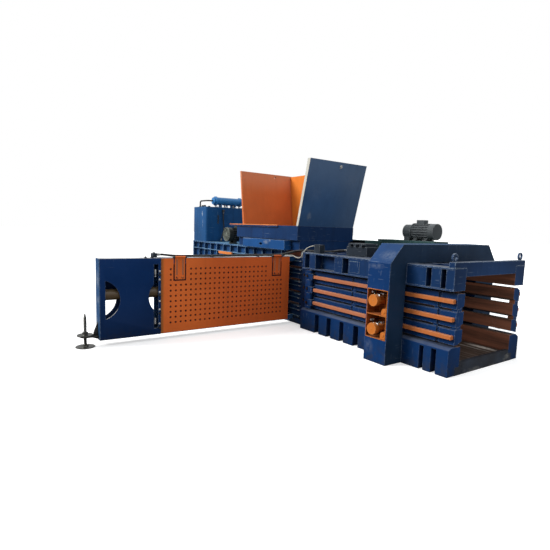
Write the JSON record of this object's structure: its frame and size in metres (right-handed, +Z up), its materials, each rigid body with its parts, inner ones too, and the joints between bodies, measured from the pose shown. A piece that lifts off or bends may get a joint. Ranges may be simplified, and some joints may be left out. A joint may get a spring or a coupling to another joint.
{
  "type": "horizontal recycling baler",
  "caption": "Horizontal channel baler with open hopper, hydraulic power pack, side needle box with perforated guard, tension frame with squeeze doors and open bale outlet.",
  "frame": {"origin": "on the floor under the channel's centre line, in the tying plane where the needles cross the channel", "axes": "+X along the channel towards the bale outlet, -Y towards the needle box side, +Z up"},
  "size_m": [7.43, 5.656, 2.8],
  "materials": {
    "blue_paint": "worn semi-gloss",
    "navy_paint": "semi-gloss",
    "light_blue_paint": "worn semi-gloss",
    "orange_paint": "satin, dusty",
    "teal_paint": "satin",
    "grey_paint": "satin",
    "wear_steel": "rubbed, light rust",
    "bright_steel": "bare",
    "hard_chrome": "polished",
    "brown_paint": "satin",
    "hose_rubber": "matte",
    "cable_sheath": "matte"
  },
  "bodies": {
    "machine": {"base_frame": "blue_paint", "control_cable": "cable_sheath", "fan_cover": "grey_paint", "feed_lip_and_step": "orange_paint", "floor_plate": "wear_steel", "hex_bolts": "bright_steel", "hinge_pins": "bright_steel", "hinge_posts": "blue_paint", "hopper_base": "blue_paint", "hopper_far_panel": "orange_paint", "hopper_front_panel": "navy_paint", "hopper_rear_panel": "orange_paint", "hose_fittings": "bright_steel", "knotter_drive_motor": "grey_paint", "knotter_housing": "teal_paint", "lower_bands": "blue_paint", "main_cylinder": "blue_paint", "main_motor": "grey_paint", "needle_box_frame": "blue_paint", "needle_box_plates": "navy_paint", "needle_cylinder": "brown_paint", "needle_hose_a": "hose_rubber", "needle_hose_b": "hose_rubber", "oil_cooler": "blue_paint", "oil_tank": "blue_paint", "outlet_head_beam": "blue_paint", "outlet_sill": "wear_steel", "press_walls": "blue_paint", "pump_unit": "grey_paint", "rear_deck": "blue_paint", "recess_liners": "orange_paint", "shear_blade": "bright_steel", "side_box_beam": "light_blue_paint", "suction_pipe": "hose_rubber", "tank_hose": "hose_rubber", "tank_lid": "blue_paint", "tension_cylinders": "orange_paint", "tension_frame": "blue_paint", "tie_combs": "blue_paint", "tunnel_roof": "blue_paint", "upper_bands": "blue_paint", "valve_manifold": "bright_steel"},
    "ram": {"ram_platens": "wear_steel", "ram_shell": "blue_paint", "ram_rod": "hard_chrome"},
    "needle_unit": {"needle_carriage": "brown_paint", "tying_needles": "bright_steel", "needle_rod": "hard_chrome"},
    "door_near": {"tension_door_near": "blue_paint", "door_bars_near": "orange_paint"},
    "door_far": {"tension_door_far": "blue_paint", "door_bars_far": "orange_paint"},
    "rods_near": {"tension_rods_near": "hard_chrome"},
    "rods_far": {"tension_rods_far": "hard_chrome"},
    "guard": {"guard_panel": "orange_paint", "guard_hangers": "orange_paint"},
    "nut": {"foot_nut": "bright_steel"},
    "screw": {"foot_screw": "bright_steel"},
    "rotor": {"motor_rotor": "bright_steel"},
    "knotter": {"knotter_shaft": "bright_steel"}
  },
  "joints": [
    {"name": "ram_slide", "type": "slide", "parent": "machine", "child": "ram", "axis": [1, 0, 0], "range_m": [0, 1.87]},
    {"name": "needle_slide", "type": "slide", "parent": "machine", "child": "needle_unit", "axis": [0, 1, 0], "range_m": [0, 1.39]},
    {"name": "door_near_hinge", "type": "hinge", "parent": "machine", "child": "door_near", "pos_m": [0.61, -0.735, 0.66], "axis": [0, 0, 1], "range_deg": [0, 2.5]},
    {"name": "door_far_hinge", "type": "hinge", "parent": "machine", "child": "door_far", "pos_m": [0.61, 0.735, 0.66], "axis": [0, 0, -1], "range_deg": [0, 2.5]},
    {"name": "rods_near_slide", "type": "slide", "parent": "machine", "child": "rods_near", "axis": [0, 1, 0], "range_m": [0, 0.0745]},
    {"name": "rods_far_slide", "type": "slide", "parent": "machine", "child": "rods_far", "axis": [0, -1, 0], "range_m": [0, 0.0745]},
    {"name": "guard_hinge", "type": "hinge", "parent": "machine", "child": "guard", "pos_m": [0.112, -1.9, 1.186], "axis": [0, -1, 0], "range_deg": [0, 80]},
    {"name": "foot_nut_turn", "type": "hinge", "parent": "machine", "child": "nut", "pos_m": [0, -4.035, 0.16], "axis": [0, 0, 1], "range_deg": [0, 7200]},
    {"name": "foot_screw_slide", "type": "slide", "parent": "machine", "child": "screw", "axis": [0, 0, 1], "range_m": [0, 0.08]},
    {"name": "rotor_spin", "type": "hinge", "parent": "machine", "child": "rotor", "pos_m": [-2.4, -0.3, 1.47], "axis": [0, 1, 0], "continuous": true},
    {"name": "knotter_shaft_spin", "type": "hinge", "parent": "machine", "child": "knotter", "pos_m": [0, 0.8, 0.66], "axis": [0, 0, 1], "continuous": true}
  ],
  "couplings": [
    {"joint": "rods_near_slide", "follows": "door_near_hinge", "m_per_rad": 1.69},
    {"joint": "rods_far_slide", "follows": "door_far_hinge", "m_per_rad": 1.69},
    {"joint": "foot_screw_slide", "follows": "foot_nut_turn", "m_per_rad": 0.0006366}
  ]
}
